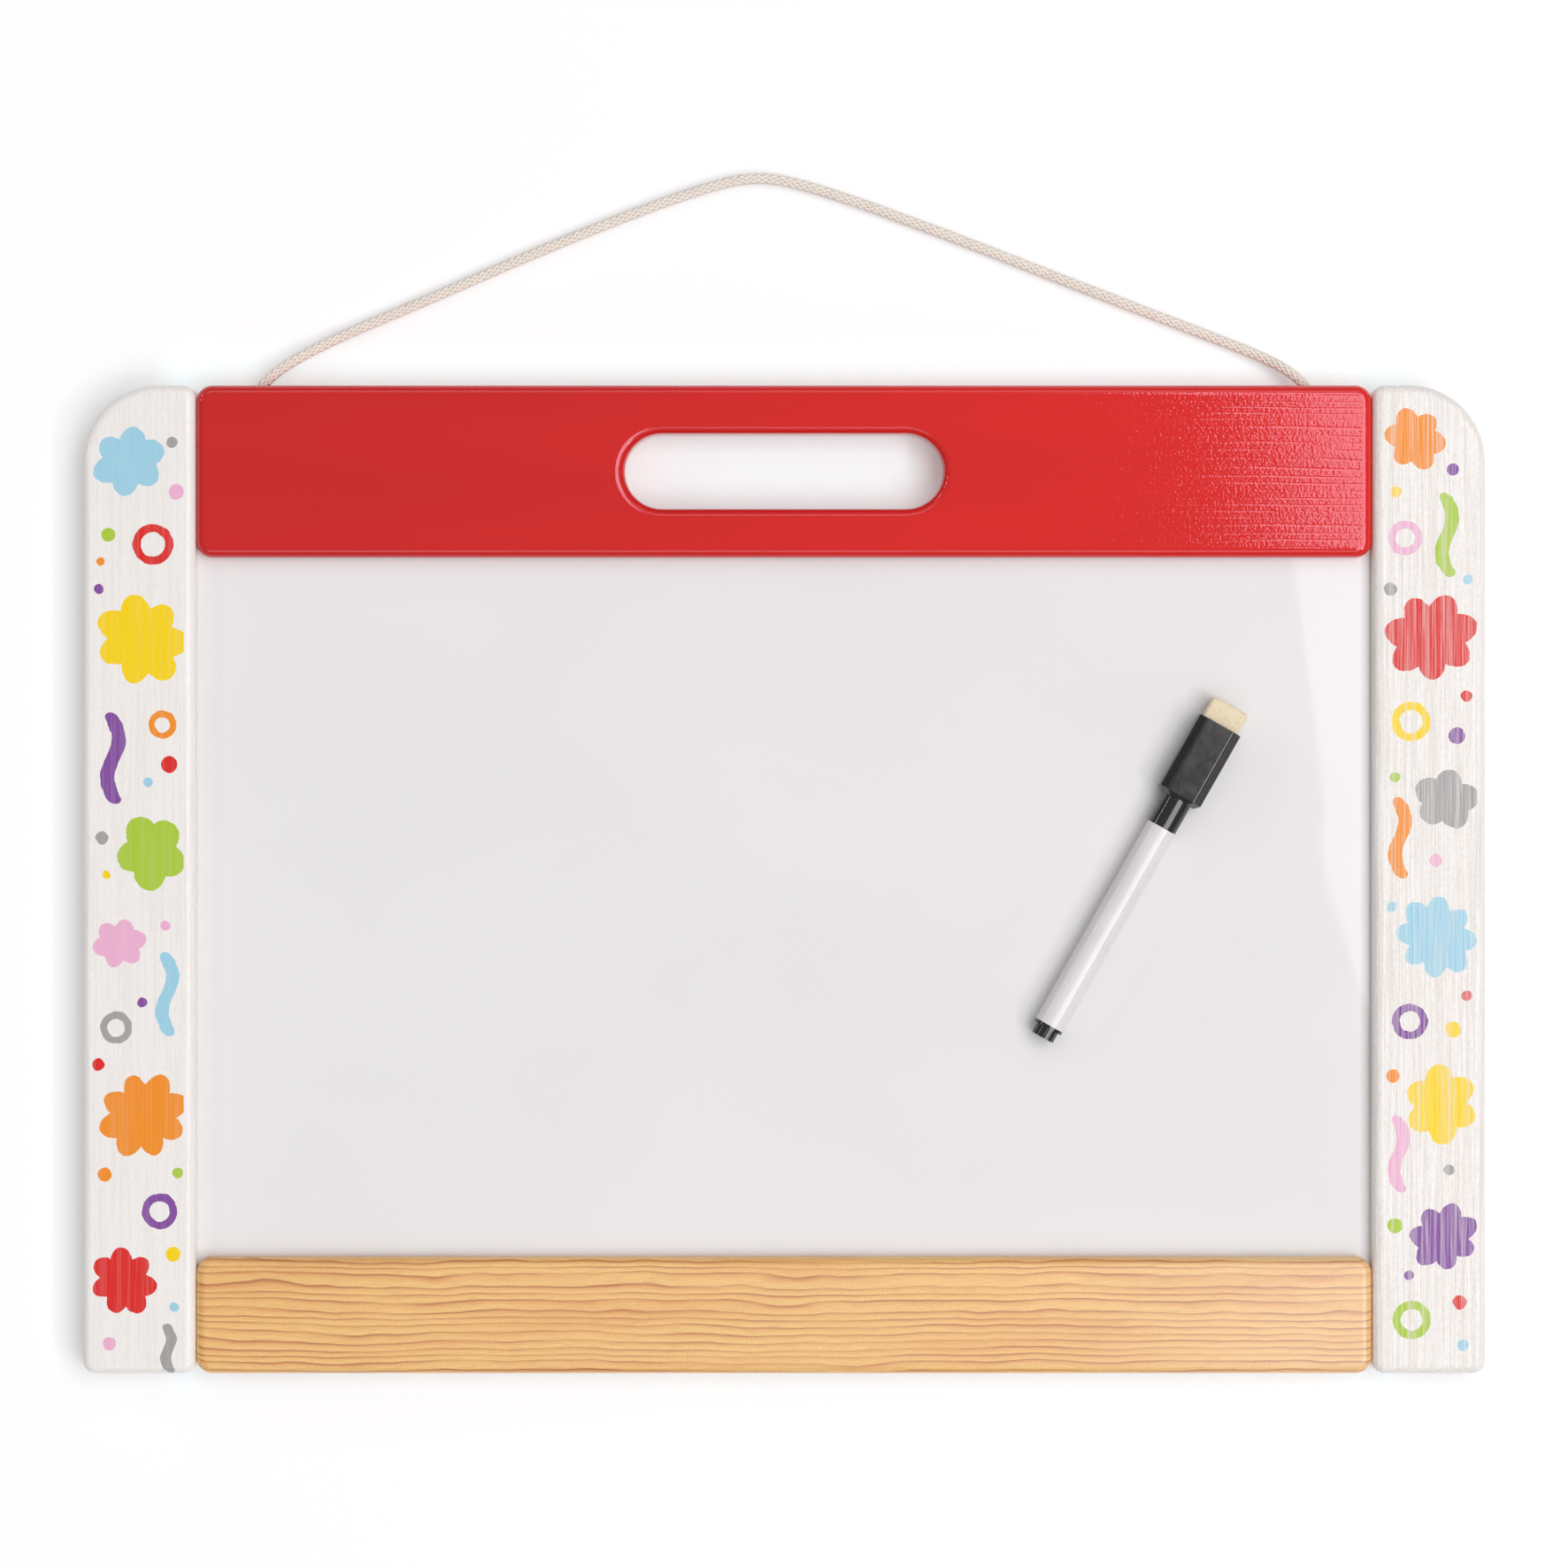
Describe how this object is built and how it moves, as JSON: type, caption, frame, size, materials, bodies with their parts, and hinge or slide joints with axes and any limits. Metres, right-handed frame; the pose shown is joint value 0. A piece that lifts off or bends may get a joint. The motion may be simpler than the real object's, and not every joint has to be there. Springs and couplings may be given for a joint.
{
  "type": "hanging dry-erase board",
  "caption": "Flat wooden children's dry-erase board with a hand slot in its top rail, a hanging cord, a framed white panel, and a marker with an eraser cap lying on it.",
  "frame": {"origin": "middle of the board's outline, on the plane of its back, which lies on the surface", "axes": "+X along the rails, +Y towards the slotted top rail, +Z out of the writing face"},
  "size_m": [0.44, 0.378, 0.02],
  "materials": {
    "red_lacquer": "gloss red lacquer over softwood grain",
    "clear_pine": "clear satin coat over straight-grained pine",
    "white_paint": "semi-gloss white paint over softwood, with printed paint blots on the front",
    "gloss_white_sheet": "gloss dry-erase surface",
    "hardboard": "raw brown hardboard with a screen-textured back",
    "beech": "raw beech dowel",
    "cotton_cord": "braided off-white cotton",
    "white_plastic": "gloss white moulded plastic",
    "black_plastic": "gloss black moulded plastic",
    "nib_fibre": "ink-soaked fibre",
    "cream_felt": "pressed wool felt"
  },
  "bodies": {
    "board": {"top_rail": "red_lacquer", "bottom_rail": "clear_pine", "left_stile": "white_paint", "right_stile": "white_paint", "writing_sheet": "gloss_white_sheet", "backing_board": "hardboard", "top_left_dowels": "beech", "top_right_dowels": "beech", "bottom_left_dowels": "beech", "bottom_right_dowels": "beech", "left_cord_end": "cotton_cord", "right_cord_end": "cotton_cord"},
    "cord_loop": {"hanging_cord": "cotton_cord"},
    "marker": {"marker_barrel": "white_plastic", "marker_end_plug": "black_plastic", "nib_holder": "black_plastic", "marker_nib": "nib_fibre", "ink_reservoir": "nib_fibre"},
    "cap": {"marker_cap": "black_plastic", "felt_eraser": "cream_felt"}
  },
  "joints": [
    {"name": "cord_swing", "type": "hinge", "parent": "board", "child": "cord_loop", "pos_m": [0, 0.15705, 0.0075], "axis": [1, 0, 0], "range_deg": [0, 90]},
    {"name": "marker_lift", "type": "slide", "parent": "board", "child": "marker", "axis": [0, 0, 1], "range_m": [0, 0.08]},
    {"name": "cap_pull", "type": "slide", "parent": "marker", "child": "cap", "axis": [0.4939, 0.8695, 0], "range_m": [0, 0.04]}
  ]
}
